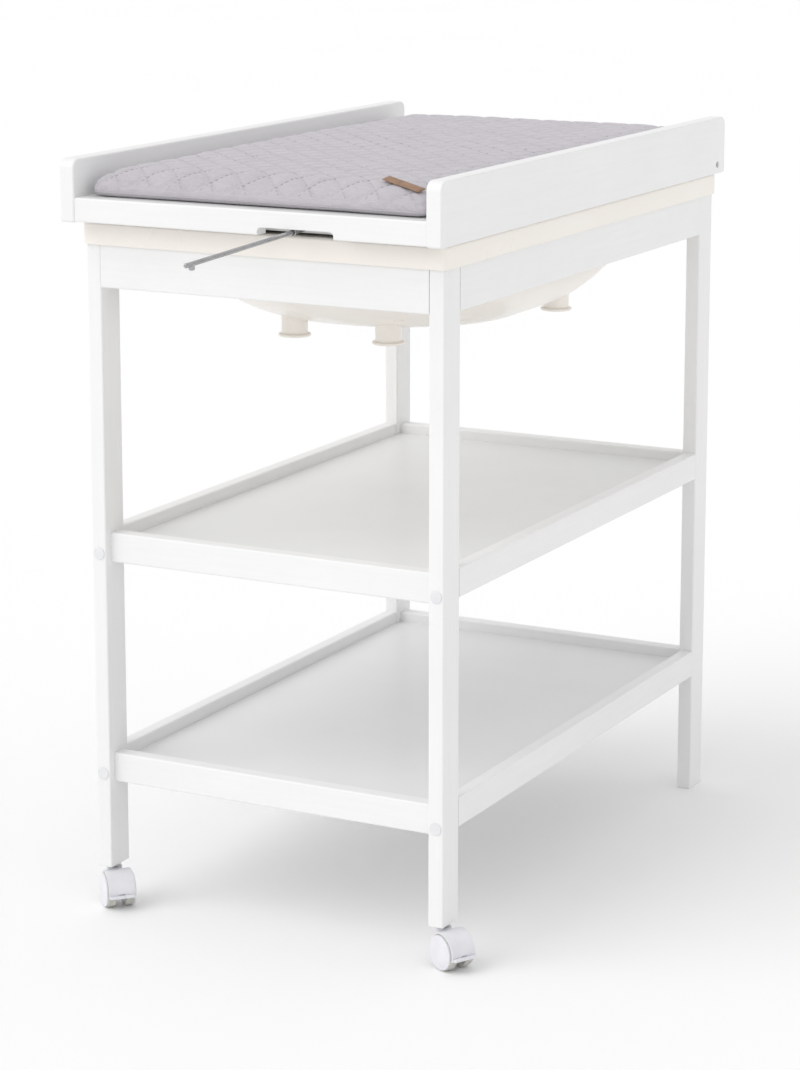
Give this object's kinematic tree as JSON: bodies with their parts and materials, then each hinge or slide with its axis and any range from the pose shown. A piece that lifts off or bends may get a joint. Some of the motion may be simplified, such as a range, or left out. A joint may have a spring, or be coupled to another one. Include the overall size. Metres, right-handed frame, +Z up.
{
  "type": "baby changing table",
  "caption": "Changing table with a padded folding top over a moulded baby bath, open shelves below, a pull-out towel rail and braked twin-wheel castors at the front.",
  "frame": {"origin": "middle of the bottom face of the whole part's box, at floor level, towel rail pulled out and castors as drawn", "axes": "+Z up, -Y to the front where the castors and towel rail are, +X to the right seen from the front"},
  "size_m": [0.488, 0.985, 0.858],
  "materials": {
    "white_wood": "satin white paint",
    "white_panel": "satin white laminate on fibreboard",
    "tub_plastic": "glossy cream moulding",
    "plug_plastic": "white soft plastic",
    "pad_fabric": "grey quilted cotton with a soft filling",
    "tag_leather": "plain brown tag",
    "chrome": "polished",
    "steel": "zinc plated",
    "castor_plastic": "white nylon",
    "castor_tread": "soft grey tread",
    "cap_plastic": "white stick-on caps",
    "buffer_rubber": "dark rubber",
    "dowel_wood": "plain beech"
  },
  "bodies": {
    "frame": {"leg_front_left": "white_wood", "leg_front_right": "white_wood", "leg_rear_left": "white_wood", "leg_rear_right": "white_wood", "apron_left": "white_wood", "apron_right": "white_wood", "apron_front": "white_wood", "apron_rear": "white_wood", "lower_shelf_rail_left": "white_wood", "lower_shelf_rail_right": "white_wood", "lower_shelf_rail_front": "white_wood", "lower_shelf_rail_rear": "white_wood", "lower_shelf_panel": "white_panel", "upper_shelf_rail_left": "white_wood", "upper_shelf_rail_right": "white_wood", "upper_shelf_rail_front": "white_wood", "upper_shelf_rail_rear": "white_wood", "upper_shelf_panel": "white_panel", "shelf_bolts": "steel", "bolt_cover_caps": "cap_plastic", "frame_dowels": "dowel_wood", "tub": "tub_plastic", "tub_feet": "tub_plastic", "hinge_block_left": "white_wood", "hinge_block_right": "white_wood", "hinge_block_screws": "steel", "pivot_bolts": "steel", "castor_left_socket": "castor_plastic", "castor_right_socket": "castor_plastic"},
    "drain_plug": {"drain_plug": "plug_plastic"},
    "changing_top": {"side_board_left": "white_wood", "side_board_right": "white_wood", "front_board": "white_wood", "rear_board": "white_wood", "deck_panel": "white_panel", "front_batten": "white_wood", "top_dowels": "dowel_wood", "rest_buffers": "buffer_rubber", "rail_eye": "chrome", "pad": "pad_fabric"},
    "towel_rail": {"towel_rail_rod": "chrome", "towel_rail_stop": "castor_plastic"},
    "castor_left": {"castor_left_stem": "steel", "castor_left_housing": "castor_plastic", "castor_left_axle": "steel"},
    "castor_left_brake": {"castor_left_brake": "castor_plastic"},
    "castor_left_wheel_a": {"castor_left_wheel_a_hub": "castor_plastic", "castor_left_wheel_a_tread": "castor_tread"},
    "castor_left_wheel_b": {"castor_left_wheel_b_hub": "castor_plastic", "castor_left_wheel_b_tread": "castor_tread"},
    "castor_right": {"castor_right_stem": "steel", "castor_right_housing": "castor_plastic", "castor_right_axle": "steel"},
    "castor_right_brake": {"castor_right_brake": "castor_plastic"},
    "castor_right_wheel_a": {"castor_right_wheel_a_hub": "castor_plastic", "castor_right_wheel_a_tread": "castor_tread"},
    "castor_right_wheel_b": {"castor_right_wheel_b_hub": "castor_plastic", "castor_right_wheel_b_tread": "castor_tread"}
  },
  "joints": [
    {"name": "top_lift", "type": "hinge", "parent": "frame", "child": "changing_top", "pos_m": [-0.01155, 0.46881, 0.8], "axis": [-1, 0, 0], "range_deg": [0, 90]},
    {"name": "towel_rail_slide", "type": "slide", "parent": "changing_top", "child": "towel_rail", "axis": [0, 0.9994, 0.0349], "range_m": [0, 0.188]},
    {"name": "drain_plug_pull", "type": "slide", "parent": "frame", "child": "drain_plug", "axis": [0, 0, 1], "range_m": [0, 0.025]},
    {"name": "castor_left_swivel", "type": "hinge", "parent": "frame", "child": "castor_left", "pos_m": [-0.22255, -0.23649, 0.046], "axis": [0, 0, 1], "continuous": true},
    {"name": "castor_left_wheel_a_roll", "type": "hinge", "parent": "castor_left", "child": "castor_left_wheel_a", "pos_m": [-0.21032, -0.2483, 0.02], "axis": [0.6947, 0.7193, 0], "continuous": true},
    {"name": "castor_left_wheel_b_roll", "type": "hinge", "parent": "castor_left", "child": "castor_left_wheel_b", "pos_m": [-0.21032, -0.2483, 0.02], "axis": [0.6947, 0.7193, 0], "continuous": true},
    {"name": "castor_left_brake_press", "type": "hinge", "parent": "castor_left", "child": "castor_left_brake", "pos_m": [-0.19953, -0.25872, 0.0176], "axis": [0.6947, 0.7193, 0], "range_deg": [0, 15]},
    {"name": "castor_right_swivel", "type": "hinge", "parent": "frame", "child": "castor_right", "pos_m": [0.19945, -0.23649, 0.046], "axis": [0, 0, 1], "continuous": true},
    {"name": "castor_right_wheel_a_roll", "type": "hinge", "parent": "castor_right", "child": "castor_right_wheel_a", "pos_m": [0.21446, -0.24447, 0.02], "axis": [0.4695, 0.8829, 0], "continuous": true},
    {"name": "castor_right_wheel_b_roll", "type": "hinge", "parent": "castor_right", "child": "castor_right_wheel_b", "pos_m": [0.21446, -0.24447, 0.02], "axis": [0.4695, 0.8829, 0], "continuous": true},
    {"name": "castor_right_brake_press", "type": "hinge", "parent": "castor_right", "child": "castor_right_brake", "pos_m": [0.2277, -0.25152, 0.0176], "axis": [0.4695, 0.8829, 0], "range_deg": [0, 15]}
  ]
}
